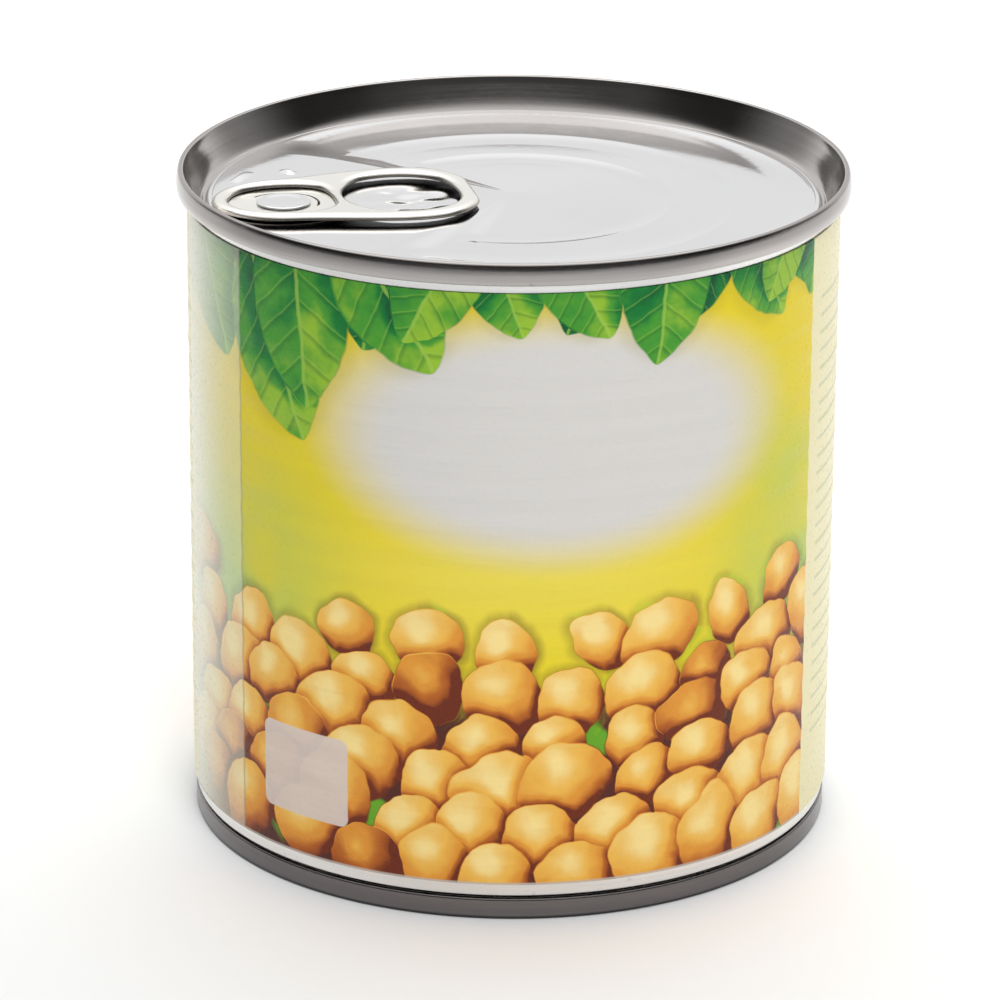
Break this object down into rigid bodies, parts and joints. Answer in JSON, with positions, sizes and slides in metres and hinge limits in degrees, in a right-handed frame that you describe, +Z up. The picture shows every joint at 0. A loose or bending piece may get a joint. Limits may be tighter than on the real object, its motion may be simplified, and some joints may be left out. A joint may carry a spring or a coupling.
{
  "type": "can of chickpeas",
  "caption": "Shut cylindrical food can with a ring-pull lid, rolled seams and a printed paper label showing chickpeas and leaves.",
  "frame": {"origin": "centre of the base, on the plane that the can stands on", "axes": "+Z up along the can's axis, -Y towards the printed front of the label, +X to the right as seen from the front"},
  "size_m": [0.087, 0.087, 0.0875],
  "materials": {
    "tinplate": "satin tinplate, with fine marks round the seams",
    "lid_metal": "bright lacquered tinplate, slightly satin",
    "tab_metal": "pale warm bright sheet metal, smooth",
    "label_paper": "glossy coated paper, printed"
  },
  "bodies": {
    "root": {"can_body": "tinplate", "label": "label_paper", "base_end": "tinplate", "lid": "lid_metal", "pull_tab": "tab_metal"}
  },
  "joints": []
}
